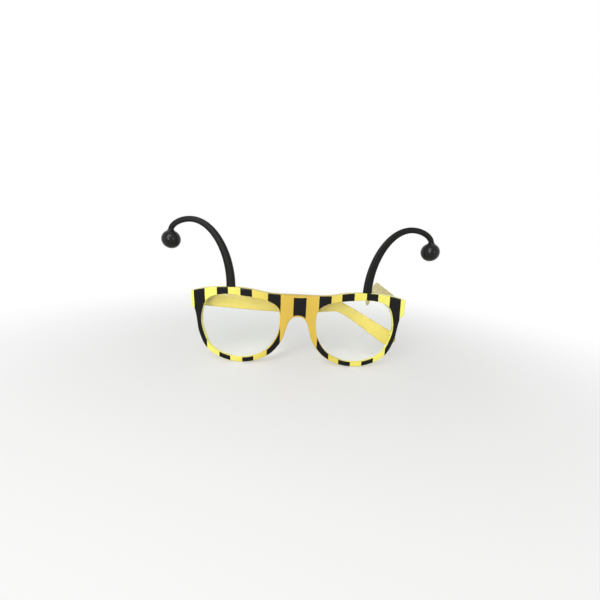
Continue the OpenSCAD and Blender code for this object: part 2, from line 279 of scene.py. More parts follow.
# Pairs of points that a line across the rim joins: one on the outline, one on the opening.
# The outline's last point, under the bridge, is joined to UNDER_BRIDGE.
ACROSS = [[(0, 0), (14.8, -8.4)], [(21, 0.7), (23.2, -4.2)], [(40, 3.3), (40.5, -1.9)],
          [(57, 2.9), (57, -2.8)], [(66, 1.4), (62.3, -5.7)], [(73.4, -0.6), (64.3, -9)],
          [(73.5, -9.8), (65.4, -12.6)], [(71.3, -13.4), (66.1, -16)],
          [(70.1, -20.9), (66.5, -20.6)]]
UNDER_BRIDGE = (12.5, -14)


def rim_columns(count, bridge_count):
    """Where the lines across the rim start and end. The outline is cut into equal steps,
    and each step's partner on the opening follows the pairs in ACROSS and, round the
    lower rim, the opening's own normals. The last columns cross the bridge to the middle."""
    start = np.argmin(np.linalg.norm(opening - ACROSS[0][1], axis=1))
    turned = np.roll(opening, -start, 0)
    turned = np.vstack([turned, turned[:1]])
    picks = lower_rim[np.linspace(0, len(lower_rim) - 1, 9).astype(int)]
    pairs = [(nearest_length(outline, a), nearest_length(turned, b)) for a, b in ACROSS]
    pairs += [(nearest_length(outline, p), nearest_length(turned, p)) for p in picks]
    pairs += [(lengths(outline)[-1], nearest_length(turned, UNDER_BRIDGE))]
    outer_knots, inner_knots = np.array(pairs).T
    inner_knots[0] = 0
    s = np.linspace(0, outer_knots[-1], count)
    inner_s = np.interp(s, outer_knots, inner_knots)
    inner_s = blurred(inner_s, np.ones(13), "odd")
    bridge_s = np.linspace(inner_s[-1], lengths(turned)[-1] + inner_s[0], bridge_count + 2)[1:-1]
    inner = at_length(turned, np.concatenate([inner_s, bridge_s]) % lengths(turned)[-1])
    return at_length(outline, s), inner


def lattice(ids, wrap=False):
    """Four-cornered faces between neighbouring rows and columns of a grid of vertex numbers."""
    if wrap:
        ids = np.concatenate([ids, ids[:, :1]], 1)
    return np.stack([ids[:-1, :-1], ids[1:, :-1], ids[1:, 1:], ids[:-1, 1:]], -1).reshape(-1, 4)


def placed(points):
    """Drawing coordinates in millimetres to the CAD frame's metres."""
    return (np.asarray(points) + [0, -FRONT_T / 2, BRIDGE_H]) * MM


SAME_POINT, NO_LENGTH = 2e-7, 1e-8      # metres within which points merge and edges go


def new_piece(name, points, faces, material, attributes=()):
    """A smooth-shaded mesh object at the origin, its doubles merged and its normals turned
    outwards. Faces may be a grid's, or a list with end caps of more corners."""
    faces = faces.tolist() if isinstance(faces, np.ndarray) else faces
    faces = [list(dict.fromkeys(face)) for face in faces]
    mesh = bpy.data.meshes.new(name)
    mesh.from_pydata(placed(points).tolist(), [], faces)
    for label, values in dict(attributes).items():
        values = np.asarray(values, np.float32).ravel()
        mesh.attributes.new(label, "FLOAT", "POINT").data.foreach_set("value", values)
    work = bmesh.new()
    work.from_mesh(mesh)
    bmesh.ops.remove_doubles(work, verts=work.verts, dist=SAME_POINT)
    bmesh.ops.dissolve_degenerate(work, edges=work.edges, dist=NO_LENGTH)
    bmesh.ops.recalc_face_normals(work, faces=work.faces)
    for face in work.faces:
        face.smooth = True
    work.to_mesh(mesh)
    work.free()
    mesh.materials.append(material)
    piece = bpy.data.objects.new(name, mesh)
    bpy.context.scene.collection.objects.link(piece)
    return piece


def takes_over(piece, body, cad_node):
    """The piece moves with a body and stands for a CAD node, which it hides."""
    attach(piece, body)
    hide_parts(cad_node)


PAD_D = 3.4                     # what the nose pads add to the plate's thickness
PAD_RISE, PAD_FALL = (0.7, 2.1), (3.2, 4.7)             # their slopes, from the opening
PAD_TOP, PAD_FOOT = (-0.12, 0.02), (0.27, 0.41)         # and in shares of its height
BEVEL_W = 1.7                   # from an opening's wall to the back's full depth
END_STEP, FLOOR_STEP = (-0.6, 0.6), (-0.4, 0.8)         # the steps up to the endpiece's back
END_ROOM, END_EDGE = 0.1, 0.5   # its back, and its bevel's foot, lie so far inside END_D


def back_depth(x, z, gap, wall):
    """Depth of the front's back at a point: the bowed plate, raised to the flat endpiece
    behind the opening's corner and beyond, and to the nose pad beside the nose, with
    smooth steps between. Close to the opening a bevel rises from the wall's depth as a
    quarter of a sine wave."""
    plate = bow(x) + FRONT_T
    end_in = HALF_W - END_W - END_IN
    endpiece = ease(*END_STEP, x - end_in) * ease(*FLOOR_STEP, z - END_FLOOR)
    level = (OPENING_Z - z) / LENS_H
    pad = ease(*PAD_RISE, gap) * (1 - ease(*PAD_FALL, gap)) * (x < OPENING_X)
    pad = pad * ease(*PAD_TOP, level) * (1 - ease(*PAD_FOOT, level))
    full = plate + (END_D - END_ROOM - plate) * endpiece + PAD_D * pad
    edge = wall + bow(x) + (END_D - END_EDGE - wall - bow(x)) * endpiece
    rise = np.clip(gap / BEVEL_W, 0, 1)
    return edge + (full - edge) * np.sin(rise * np.pi / 2)


EDGE_R = 0.5                    # rounding of the openings' front edges
RIM_R = 0.8                     # rounding of the outer edge
BACK_ROUND = 0.8                # the back's rounding, as a share of RIM_R
BRIDGE_ROUND = 2.1              # rounding of the bridge's top edge
LEDGE, SHELF = 0.2, 0.3         # from the roundings to the nearest rows of the flat face
WALL_D, WALL_SIDE = 1.9, 2.3    # depth of the openings' walls, and what the outer side adds
COLUMNS, BRIDGE_COLUMNS, ROUND_ROWS, FLAT_ROWS, WALL_ROWS = 560, 28, 7, 10, 3
# Stripe edges on the front, from the left: their place at the bridge's top and their lean
STRIPE_EDGES = [-71.4, -63.88, -55.57, -47.95, -39.62, -31.73, -20.91, -12.27, -3.45,
                5.2, 13.88, 22.12, 29.25, 37.72, 45.99, 53.95, 62.03, 69.82]
STRIPE_LEAN = [-0.03, -0.029, -0.030, -0.033, -0.035, -0.035, -0.001, -0.013, -0.005,
               -0.002, -0.002, -0.014, -0.016, -0.018, -0.014, -0.021, -0.016, -0.045]


def stripe_count(points):
    """How many stripe edges lie to the left of each point, and the share of the next gap,
    with every edge a line that leans from its place at the bridge's top. One more edge is
    added beyond each end."""
    beyond = 9
    x, z = points[:, :1], points[:, 2:]
    edges = np.array(STRIPE_EDGES) + np.array(STRIPE_LEAN) * z
    edges = np.concatenate([edges[:, :1] - beyond, edges, edges[:, -1:] + beyond], 1)
    share = (x - edges[:, :-1]) / np.diff(edges, axis=1)
    return np.clip(share, 0, 1).sum(1) - 1


PRINT_RIM, PRINT_EDGE = 0.12, 0.15    # bare margins at the outline and at the openings
BARE_TOP, BARE_UNDER = 1.5, 1.0       # what the bridge adds at its top and its underside
PRINT_SLIP = 0.45                     # the print sits so far to the right beside the nose,
SLIP_FADE = (26, 40)                  # and no longer does beyond these distances


def print_margins(outer, outer_out, inner, inner_out, side):
    """How far the print stays from the outline and from the openings. It reaches nearly
    to the edges, leaves the bridge's rounded top and bottom bare, and is cut off on the
    side away from which it has slipped."""
    slip = PRINT_SLIP * side * (1 - ease(*SLIP_FADE, outer[:, 0]))
    bare = np.where(outer_out[:, 1] > 0.5, BARE_TOP * (1 - ease(1, 15, outer[:, 0])), 0)
    bare = bare + BARE_UNDER * (outer_out[:, 1] < -0.3) * (1 - ease(3, 7, outer[:, 0]))
    rim = PRINT_RIM + bare + np.maximum(0, -slip * outer_out[:, 0])
    slip = PRINT_SLIP * side * (1 - ease(*SLIP_FADE, inner[:, 0]))
    return rim, PRINT_EDGE + np.maximum(0, slip * inner_out[:, 0])


def front_surface():
    """The front as one closed grid on each side of the middle. Every column runs from the
    opening's edge across the rim to the outline. Close to an edge its points lie on a
    quarter circle, so the face rolls over into the wall, and the back is the same grid at
    back_depth. The outline's normals are blurred over some 2 mm, so the rows inside its
    sharp corners don't cross. The left half is the mirror image. Two values go with each
    point: how many stripe edges lie to its left, and how far it lies inside the print."""
    outer, inner = rim_columns(COLUMNS, BRIDGE_COLUMNS)
    inner_out, outer_out = outward(inner, True), outward(outer, False)
    outer_out[[0, -1]] = [[0, 1], [0, -1]]
    on_top = outer_out[:, 1] > 0.5
    weights = np.hanning(15)[1:-1]
    outer_out = np.stack([blurred(outer_out[:, 0], weights, "odd"),
                          blurred(outer_out[:, 1], weights, "even")], -1)
    outer_out /= np.linalg.norm(outer_out, axis=1, keepdims=True)
    round_w = RIM_R + (BRIDGE_ROUND - RIM_R) * on_top * (1 - ease(7, 17, outer[:, 0]))
    angle = np.linspace(0, np.pi / 2, ROUND_ROWS)[:, None]
    inset, sink = 1 - np.cos(angle), 1 - np.sin(angle)

    near = inner + (inset * EDGE_R)[:, :, None] * inner_out
    seam_z = np.linspace(-BRIDGE_H + RIM_R + SHELF, -BRIDGE_ROUND - SHELF, BRIDGE_COLUMNS + 2)
    seam = np.stack([0 * seam_z, seam_z], -1)[1:-1]
    shelf = np.vstack([outer - (round_w + SHELF)[:, None] * outer_out, seam])
    ledge = inner + (EDGE_R + LEDGE) * inner_out
    share = np.linspace(0, 1, FLAT_ROWS)[:, None, None]
    plan = np.concatenate([near, ledge * (1 - share) + shelf * share])
    far = outer - (inset[::-1] * round_w)[:, :, None] * outer_out
    gap_near = np.linalg.norm(plan - inner, axis=-1)
    gap_far = np.linalg.norm(far - inner[:COLUMNS], axis=-1)

    def sheet(plan, y):
        """Grid points at depth y, from their distances across and their heights."""
        return np.stack([plan[..., 0], y, plan[..., 1]], -1)

    near_sink = np.concatenate([sink * EDGE_R, np.zeros((FLAT_ROWS, 1))]) * np.ones(plan.shape[1])
    wall = WALL_D + WALL_SIDE * np.clip(inner_out[:, 0], 0, 1)**2
    back_round = BACK_ROUND * sink[::-1] * RIM_R
    front_near = sheet(plan, bow(plan[..., 0]) + near_sink)
    front_far = sheet(far, bow(far[..., 0]) + sink[::-1] * round_w)
    back_near = sheet(plan, back_depth(plan[..., 0], plan[..., 1], gap_near, wall))
    far_depth = back_depth(far[..., 0], far[..., 1], gap_far, wall[:COLUMNS])
    back_far = sheet(far, far_depth - back_round)
    rise = np.linspace(0, 1, WALL_ROWS + 2)[1:-1, None, None]
    wall_near = front_near[0] * (1 - rise) + back_near[0] * rise
    wall_far = front_far[-1] * (1 - rise) + back_far[-1] * rise
    grids = [front_near, front_far, back_near, back_far, wall_near, wall_far]
    sizes = [g.shape[0] * g.shape[1] for g in grids]
    starts = np.cumsum([0] + sizes)
    fn, ff, bn, bf, wn, wf = (np.arange(a, a + n).reshape(g.shape[:2])
                              for a, n, g in zip(starts, sizes, grids))
    faces = np.vstack([lattice(fn, True), lattice(np.vstack([fn[-1:, :COLUMNS], ff])),
                       lattice(bn, True), lattice(np.vstack([bn[-1:, :COLUMNS], bf])),
                       lattice(np.vstack([fn[:1], wn, bn[:1]]), True),
                       lattice(np.vstack([ff[-1:], wf, bf[-1:]]))])

    def film(side):
        """How far each point of one half lies inside the print, and -2 where there is none."""
        rim, edge = print_margins(outer, outer_out, inner, inner_out, side)
        near_film = gap_near - edge
        near_film[-1, :COLUMNS] = np.minimum(near_film[-1, :COLUMNS], round_w + SHELF - rim)
        far_film = inset[::-1] * round_w - rim
        return np.concatenate([near_film.ravel(), far_film.ravel(), np.full(sum(sizes[2:]), -2.0)])

    points = np.vstack([g.reshape(-1, 3) for g in grids])
    points = np.vstack([points, points * [-1, 1, 1]])
    faces = np.vstack([faces, faces[:, ::-1] + starts[-1]])
    values = {"stripe": stripe_count(points), "film": np.concatenate([film(1), film(-1)])}
    return points, faces, values


def colour(code):
    """Linear light of a colour written as #RRGGBB."""
    share = np.array([int(code[k:k + 2], 16) for k in (1, 3, 5)]) / 255
    linear = np.where(share > 0.04045, ((share + 0.055) / 1.055)**2.4, share / 12.92)
    return (*linear, 1.0)


def shader_group(name, inputs, outputs):
    """An empty shader node group with named sockets, and its input and output nodes."""
    group = bpy.data.node_groups.new(name, "ShaderNodeTree")
    for label, kind in inputs.items():
        group.interface.new_socket(label, in_out="INPUT", socket_type="NodeSocket" + kind)
    for label, kind in outputs.items():
        group.interface.new_socket(label, in_out="OUTPUT", socket_type="NodeSocket" + kind)
    given, made = group.nodes.new("NodeGroupInput"), group.nodes.new("NodeGroupOutput")
    return group, given.outputs, made.inputs


def moulded_skin():
    """The skin of moulded plastic: Tone is a slow cloudiness of the colour, Scuff a mask of
    fine scratches that run every way, and Height the faint ripple left by the mould."""
    group, given, made = shader_group("moulded_skin", {"Vector": "Vector"},
                                      {"Tone": "Float", "Scuff": "Float", "Height": "Float"})
    place = given["Vector"]
    tone = node(group, "TexNoise", {"Vector": place, "Scale": 45, "Detail": 3})
    ripple = node(group, "TexNoise", {"Vector": place, "Scale": 220, "Detail": 2})
    swirl = node(group, "TexNoise", {"Vector": place, "Scale": 900, "Detail": 4,
                                     "Distortion": 3.0})
    scratch = node(group, "MapRange", {"Value": swirl.outputs["Fac"],
                                       "From Min": 0.60, "From Max": 0.72})
    height = node(group, "Math", {0: scratch.outputs[0], 1: -0.12, 2: ripple.outputs["Fac"]},
                  operation="MULTIPLY_ADD")
    group.links.new(tone.outputs["Fac"], made["Tone"])
    group.links.new(scratch.outputs[0], made["Scuff"])
    group.links.new(height.outputs[0], made["Height"])
    return group


def stripe_print():
    """Printed stripes: Ink is 1 on a black stripe inside the film's edge, whose line
    wanders by a few hundredths of a millimetre, and Height is the film's thickness."""
    given = {"Vector": "Vector", "Stripe": "Float", "Film": "Float"}
    group, given, made = shader_group("stripe_print", given, {"Ink": "Float", "Height": "Float"})
    wander = node(group, "TexNoise", {"Vector": given["Vector"], "Scale": 1400, "Detail": 2})
    shift = node(group, "MapRange", {"Value": wander.outputs["Fac"],
                                     "To Min": -0.005, "To Max": 0.005})
    moved = node(group, "Math", {0: given["Stripe"], 1: shift.outputs[0]}, operation="ADD")
    turn = node(group, "Math", {0: moved.outputs[0], 1: 2.0}, operation="FLOORED_MODULO")
    black = node(group, "Math", {0: turn.outputs[0], 1: 1.0}, operation="LESS_THAN")
    ragged = node(group, "Math", {0: shift.outputs[0], 1: 8.0, 2: given["Film"]},
                  operation="MULTIPLY_ADD")
    inside = node(group, "MapRange", {"Value": ragged.outputs[0],
                                      "From Min": -0.03, "From Max": 0.03})
    ink = node(group, "Math", {0: black.outputs[0], 1: inside.outputs[0]}, operation="MULTIPLY")
    group.links.new(ink.outputs[0], made["Ink"])
    group.links.new(ink.outputs[0], made["Height"])
    return group


SKIN, PRINT = moulded_skin(), stripe_print()


def new_material(name):
    """A material with an empty tree, and the tree."""
    material = bpy.data.materials.new(name)
    material.use_nodes = True
    material.node_tree.nodes.clear()
    return material, material.node_tree


def group_node(tree, group, inputs):
    """The outputs of a shader group placed in a tree."""
    made = tree.nodes.new("ShaderNodeGroup")
    made.node_tree = group
    for name, value in inputs.items():
        tree.links.new(value, made.inputs[name])
    return made.outputs


def striped_plastic(name, ramp_stops, spread):
    """Glossy yellow plastic with printed stripes. The yellow goes through the given stops
    with distance from the glasses' middle, where spread metres are the last stop."""
    material, tree = new_material(name)
    place = node(tree, "TexCoord").outputs["Object"]
    skin = group_node(tree, SKIN, {"Vector": place})
    stripe = node(tree, "Attribute", attribute_name="stripe").outputs["Fac"]
    film = node(tree, "Attribute", attribute_name="film").outputs["Fac"]
    ink = group_node(tree, PRINT, {"Vector": place, "Stripe": stripe, "Film": film})
    across = node(tree, "SeparateXYZ", {0: place}).outputs["X"]
    across = node(tree, "Math", {0: across}, operation="ABSOLUTE")
    share = node(tree, "MapRange", {"Value": across.outputs[0], "From Max": spread})
    yellow = node(tree, "ValToRGB", {"Fac": share.outputs[0]})
    stops = yellow.color_ramp.elements
    while len(stops) < len(ramp_stops):
        stops.new(0.5)
    for stop, (position, code) in zip(stops, ramp_stops):
        stop.position, stop.color = position, colour(code)
    cloud = node(tree, "MapRange", {"Value": skin["Tone"], "To Min": 0.94, "To Max": 1.03})
    clouded = node(tree, "VectorMath", {0: yellow.outputs["Color"], "Scale": cloud.outputs[0]},
                   operation="SCALE")
    coat = node(tree, "Mix", {"Factor": ink["Ink"], 6: clouded.outputs[0], 7: colour("#0E0E0C")},
                data_type="RGBA")
    gloss = node(tree, "Mix", {"Factor": ink["Ink"], 2: 0.20, 3: 0.14}, data_type="FLOAT")
    worn = node(tree, "Math", {0: skin["Scuff"], 1: 0.08, 2: gloss.outputs[0]},
                operation="MULTIPLY_ADD")
    relief = node(tree, "Math", {0: ink["Height"], 1: 0.35, 2: skin["Height"]},
                  operation="MULTIPLY_ADD")
    bump = node(tree, "Bump", {"Height": relief.outputs[0], "Strength": 0.12, "Distance": 0.0002})
    plastic = node(tree, "BsdfPrincipled",
                   {"Base Color": coat.outputs[2], "Roughness": worn.outputs[0],
                    "Normal": bump.outputs[0], "IOR": 1.49, "Specular IOR Level": 0.2})
    node(tree, "OutputMaterial", {"Surface": plastic.outputs[0]})
    return material


# The yellow turns from orange at the bridge to lemon at the endpieces
FRONT_YELLOWS = [(0.0, "#D2B148"), (0.16, "#D8B74C"), (0.34, "#E2CF5F"),
                 (0.62, "#EFE66E"), (1.0, "#F5F27B")]
front_plastic = striped_plastic("front_plastic", FRONT_YELLOWS, 0.074)
points, faces, values = front_surface()
front = new_piece("front", points, faces, front_plastic, values)
takes_over(front, "front", "front_frame")


# Lenses: two clear polycarbonate discs, sprung into a groove in the rims, bowed as the
# front is and a little domed, with the smudges that such lenses pick up.
LENS_T, LENS_SEAT, LENS_DOME = 1.6, 1.0, 0.7


def lens_surface(rings=26):
    """A disc inside the opening's curve, moved out into the groove: points at shares of the
    way from the middle to the edge, domed forwards by one minus the share squared, and the
    same again behind it."""
    edge = opening[::2] + LENS_SEAT * outward(opening[::2], True)
    share = (np.linspace(0, 1, rings)**0.8)[:, None, None]
    plan = np.array([OPENING_X, OPENING_Z]) * (1 - share) + edge * share
    front_y = bow(plan[..., 0]) + (FRONT_T - LENS_T) / 2 - LENS_DOME * (1 - share[..., 0]**2)
    sheets = [np.stack([plan[..., 0], front_y + back, plan[..., 1]], -1) for back in (0, LENS_T)]
    ids = np.arange(2 * sheets[0][..., 0].size).reshape(2, *sheets[0].shape[:2])
    faces = [lattice(ids[0], True), lattice(ids[1][::-1], True), lattice(ids[:, -1], True)]
    return np.concatenate([s.reshape(-1, 3) for s in sheets]), np.vstack(faces)


def clear_plastic():
    """Clear plastic with faint smudges, which lets the lamps' light through."""
    material, tree = new_material("clear_plastic")
    place = node(tree, "TexCoord").outputs["Object"]
    smudge = node(tree, "TexNoise", {"Vector": place, "Scale": 70, "Detail": 5,
                                     "Distortion": 0.8})
    blur = node(tree, "MapRange", {"Value": smudge.outputs["Fac"], "From Min": 0.5,
                                   "From Max": 0.75, "To Min": 0.0, "To Max": 0.05})
    plastic = node(tree, "BsdfPrincipled",
                   {"Base Color": (0.97, 0.985, 0.96, 1), "Roughness": blur.outputs[0],
                    "IOR": 1.5, "Specular IOR Level": 0.25, "Transmission Weight": 1.0})
    through = node(tree, "BsdfTransparent", {"Color": (0.93, 0.95, 0.92, 1)})
    lamp_ray = node(tree, "LightPath").outputs["Is Shadow Ray"]
    either = node(tree, "MixShader", {0: lamp_ray, 1: plastic.outputs[0], 2: through.outputs[0]})
    node(tree, "OutputMaterial", {"Surface": either.outputs[0]})
    return material


lens_plastic = clear_plastic()
points, faces = lens_surface()
for name, side in (("lens_right", 1), ("lens_left", -1)):
    lens = new_piece(name + "_disc", points * [side, 1, 1], faces, lens_plastic)
    takes_over(lens, "front", name)


# Temples: yellow mouldings with slightly crowned faces, deep beside the lens and narrower
# behind the ear, where they drop and end in a rounded tip. Each turns on its hinge screw.
BEND_L, EAR_L, EAR_DROP = 94.0, 48.0, 34.5
TEMPLE_DROP, BUTT_H, TEMPLE_H = 1.6, 11.4, 13.6
TEMPLE_T, FACE_ROOM, TEMPLE_CROWN = 3.4, 0.1, 0.75   # FACE_ROOM keeps it inside the solid
CORNER_R, BUTT_ROUND, TIP_ROUND = 1.0, 0.55, 2.2
BUTT_START = 1.3                # the first full section lies so far ahead of the hinge axis
SLANT_FADE = (-1, 12)           # the butt's slant fades out over this stretch behind it
OPEN_ANGLE, BUTT_GAP, HINGE_OFF, TEMPLE_INSET = 95.0, 0.2, 1.8, 0.4
HINGE_X = HALF_W - TEMPLE_INSET - TEMPLE_T - HINGE_OFF
HINGE_Y = END_D + HINGE_OFF
STRIPE_STEP, STRIPE_START = 8.15, 0.6
STRIPE_MARGIN, PRINT_DEPTH = 0.75, 0.3      # bare along the edges, and how deep print goes


def temple_edges(rings=170, tip_rings=34):
    """The temple's lower and upper edge in side view, each from the butt to the tip, as
    distance behind the hinge axis and height: four bends, cut at matching places. Of the
    tip's bend, the lower edge has the points up to number tip_cut and the upper the rest."""
    tip_cut = 103
    bend_z = -0.83 * TEMPLE_H
    ear_low = [BEND_L + 0.76 * EAR_L, -0.965 * EAR_DROP]
    ear_high = [BEND_L + 0.9 * EAR_L, -0.705 * EAR_DROP]
    t = np.linspace(0, 1, 200)
    tip = bend(ear_low, [BEND_L + 0.92 * EAR_L, -1.1 * EAR_DROP],
               [BEND_L + 1.1 * EAR_L, -0.914 * EAR_DROP], ear_high, t)
    belly = bend([-2 * HINGE_OFF, -BUTT_H], [0.26 * BEND_L, -1.05 * BUTT_H],
                 [0.62 * BEND_L, -1.17 * TEMPLE_H], [BEND_L, bend_z], t)
    drop = bend([BEND_L, bend_z], [BEND_L + 0.1 * EAR_L, 0.96 * bend_z],
                [BEND_L + 0.3 * EAR_L, 0.52 * bend_z - 0.35 * EAR_DROP], ear_low, t)
    shoulder = bend([0.894 * BEND_L, 0], [1.02 * BEND_L, 0],
                    [BEND_L + 0.3 * EAR_L, -0.283 * EAR_DROP], ear_high, t)
    lower = np.vstack([belly, drop[1:], tip[1:tip_cut + 1]])
    upper = np.vstack([[[0, 0]], shoulder, tip[:tip_cut - 1:-1]])
    lower = lower[lower[:, 0] > -BUTT_START]
    lower[0, 0] = upper[0, 0] = -BUTT_START
    pairs = [((0.9 * BEND_L, -13), (0.9 * BEND_L, 0)), (ear_low, ear_high)]
    knots = [(0, 0)] + [(nearest_length(lower, a), nearest_length(upper, b)) for a, b in pairs]
    knots += [(lengths(lower)[-1], lengths(upper)[-1])]
    lower_knots, upper_knots = np.array(knots).T
    run_in = np.linspace(0, lower_knots[2], rings - tip_rings, endpoint=False)
    round_off = np.sin(np.linspace(0, np.pi / 2, tip_rings))
    s = np.concatenate([run_in, lower_knots[2] + (lower_knots[3] - lower_knots[2]) * round_off])
    return at_length(lower, s), at_length(upper, np.interp(s, lower_knots, upper_knots))


def temple_section(corner_steps=7, face_steps=11):
    """A rounded rectangle's outline as four lists of factors: of the straight half height
    and the corner's radius along, and of the straight half thickness and the radius across."""
    turn = np.linspace(0, np.pi / 2, corner_steps)
    down = np.linspace(1, -1, face_steps + 2)[1:-1]
    flat = np.ones_like(turn)
    quarters = [turn + k * np.pi / 2 for k in range(4)]
    corner = [np.stack([a * flat, np.sin(quarter), c * flat, np.cos(quarter)])
              for quarter, a, c in zip(quarters, (1, 1, -1, -1), (1, -1, -1, 1))]
    flat = np.ones_like(down)
    inner = np.stack([down, 0 * flat, -flat, -flat])
    outer = np.stack([-down, 0 * flat, flat, flat])
    return np.concatenate([corner[0], corner[1], inner, corner[2], corner[3], outer], 1)


def temple_surface():
    """Rounded rectangles strung along the temple: each has its height from the lower to the
    upper edge and crowned sides, and at the tip both its sizes shrink on a quarter ellipse.
    At the butt smaller ones round off the end, which is cut at the slant that meets the
    endpiece when open."""
    lower, upper = temple_edges()
    middle, half = (lower + upper) / 2, (upper - lower) / 2
    height = np.linalg.norm(half, axis=1, keepdims=True)
    to_tip = np.linalg.norm(middle - middle[-1], axis=1, keepdims=True)
    shrink = np.sqrt(1 - (1 - np.clip(to_tip / TIP_ROUND, 0, 1))**2)
    crown = TEMPLE_CROWN * shrink
    half_t = (TEMPLE_T - FACE_ROOM) / 2
    thick = half_t * shrink - crown
    corner = np.minimum(CORNER_R, np.minimum(height, thick))
    a, b, c, d = temple_section()
    along = a * (height - corner) + b * corner
    across = c * (thick - corner) + d * corner
    film = np.minimum(across - thick + PRINT_DEPTH, height - STRIPE_MARGIN - np.abs(along))
    across = across + np.sign(c) * crown * (1 - (along / np.maximum(height, 1e-9))**2)
    up_unit = half / np.maximum(height, 1e-9)
    rings = np.stack([HINGE_OFF + TEMPLE_T / 2 + across, middle[:, :1] + along * up_unit[:, :1],
                      middle[:, 1:] + along * up_unit[:, 1:] - TEMPLE_DROP], -1)
    turn = np.linspace(0, np.pi / 2, 5)[:-1, None, None]
    centre = rings[0].mean(0)
    drawn_in = BUTT_ROUND * (1 - np.sin(turn)) / np.array([half_t, 1.0, BUTT_H / 2])
    lips = centre + (rings[0] - centre) * (1 - drawn_in)
    lips[..., 1] = rings[0, :, 1] - BUTT_ROUND * np.cos(turn[..., 0])
    rings = np.concatenate([lips, rings])
    film = np.vstack([np.full(lips.shape[:2], -1.0), film])
    slant = np.tan(np.radians(OPEN_ANGLE - 90)) * rings[..., 0]
    slant = slant + BUTT_GAP - HINGE_OFF + BUTT_START + BUTT_ROUND
    rings[..., 1] += slant * (1 - ease(*SLANT_FADE, rings[..., 1]))
    ids = np.arange(rings[..., 0].size).reshape(rings.shape[:2])
    values = {"stripe": rings[..., 1] / STRIPE_STEP + STRIPE_START, "film": film}
    return rings.reshape(-1, 3), lattice(ids, True).tolist() + [ids[0].tolist()], values


def hung(points, angle, side):
    """Turns a temple drawn along +Y from its hinge axis to an angle of opening, moves it to
    the axis, and mirrors it for the left side."""
    turn = np.radians(90 - angle)
    x, y = points[:, 0], points[:, 1]
    x, y = x * np.cos(turn) - y * np.sin(turn), x * np.sin(turn) + y * np.cos(turn)
    return (np.stack([x, y, points[:, 2]], -1) + [HINGE_X, HINGE_Y, 0]) * [side, 1, 1]


# The temples' yellow is a darker copy of the front's: painted shade for the brow's shadow on the
# folded temples behind the lenses.
TEMPLE_SHADED_YELLOWS = [(0.0, "#CFBB52"), (1.0, "#DDCA5C")]
temple_plastic_painted_shade = striped_plastic("temple_plastic_painted_shade", TEMPLE_SHADED_YELLOWS, 0.08)
points, faces, values = temple_surface()
for name, side, angle in (("right", 1, OPEN_ANGLE), ("left", -1, 0)):
    hinged = hung(points, angle, side)
    temple = new_piece(f"temple_{name}_moulding", hinged, faces, temple_plastic_painted_shade, values)
    takes_over(temple, name + "_temple", "temple_" + name)


# Hinges: three-knuckle steel hinges, a two-knuckle leaf let into each endpiece and a
# one-knuckle leaf in each temple, with a slotted screw as the pin.
def brushed_steel(name, code, roughness):
    """Steel with fine upright brush marks, which are noise drawn out along Z."""
    material, tree = new_material(name)
    place = node(tree, "TexCoord").outputs["Object"]
    drawn = node(tree, "Mapping", {"Vector": place, "Scale": (1.0, 1.0, 0.06)})
    grain = node(tree, "TexNoise", {"Vector": drawn.outputs[0], "Scale": 9000, "Detail": 3})
    tarnish = node(tree, "TexNoise", {"Vector": place, "Scale": 600, "Detail": 4})
    shade = node(tree, "MapRange", {"Value": tarnish.outputs["Fac"],
                                    "To Min": 0.75, "To Max": 1.05})
    tinted = node(tree, "VectorMath", {0: colour(code)[:3], "Scale": shade.outputs[0]},
                  operation="SCALE")
    rough = node(tree, "MapRange", {"Value": grain.outputs["Fac"], "To Min": roughness - 0.1,
                                    "To Max": roughness + 0.12})
    bump = node(tree, "Bump", {"Height": grain.outputs["Fac"], "Strength": 0.25,
                               "Distance": 0.00003})
    metal = node(tree, "BsdfPrincipled", {"Base Color": tinted.outputs[0], "Metallic": 1.0,
                                          "Roughness": rough.outputs[0], "Normal": bump.outputs[0]})
    node(tree, "OutputMaterial", {"Surface": metal.outputs[0]})
    return material


hinge_steel = brushed_steel("hinge_steel", "#B9B8B4", 0.34)
screw_steel = brushed_steel("screw_steel", "#A7A39C", 0.30)
for name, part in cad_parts.items():
    if "hinge" in name:
        part.data.materials.clear()
        part.data.materials.append(screw_steel if "screw" in name else hinge_steel)


# Antennae: satin black stems, each pushed and glued into the brow. A stem rises, leans
# out over an arch and tapers all the way down to the ball.
STEM_X, BALL_X, ARCH_X = 46.5, 85.6, 72.4
ARCH_H, BALL_DROP, BALL_D = 43.0, 13.5, 12.0
STEM_W, STEM_D, STEM_TIP = 6.0, 3.8, 3.0
STEM_FOOT = BROW_Z + 0.02
ARCH_Z = BROW_Z + ARCH_H
BALL_Z = ARCH_Z - BALL_DROP
STEM_END = BALL_Z + BALL_D / 2 - 0.5
STEM_Y = bow(STEM_X) + FRONT_T / 2
CLIMB = 0.75                    # the arch's top, as a share of the stem's length
SQUARENESS, FOOT_SUNK, END_SUNK = 0.62, 1.2, 1.0


def stem_line(t):
    """The stem's centre line at shares t: one bend from the foot to the arch's top, which
    it reaches at the share CLIMB, and another down to the ball."""
    foot, crown, last = np.array([[STEM_X, STEM_FOOT], [ARCH_X, ARCH_Z], [BALL_X, STEM_END]])
    climb = bend(foot, foot + [0, 0.5 * ARCH_H], crown - [0.58 * (ARCH_X - STEM_X), 0], crown,
                 np.clip(t / CLIMB, 0, 1))
    fall = bend(crown, crown + [0.56 * (BALL_X - ARCH_X), 0],
                last + [0, 0.45 * (ARCH_Z - STEM_END)], last,
                np.clip((t - CLIMB) / (1 - CLIMB), 0, 1))
    return np.where((t < CLIMB)[:, None], climb, fall)


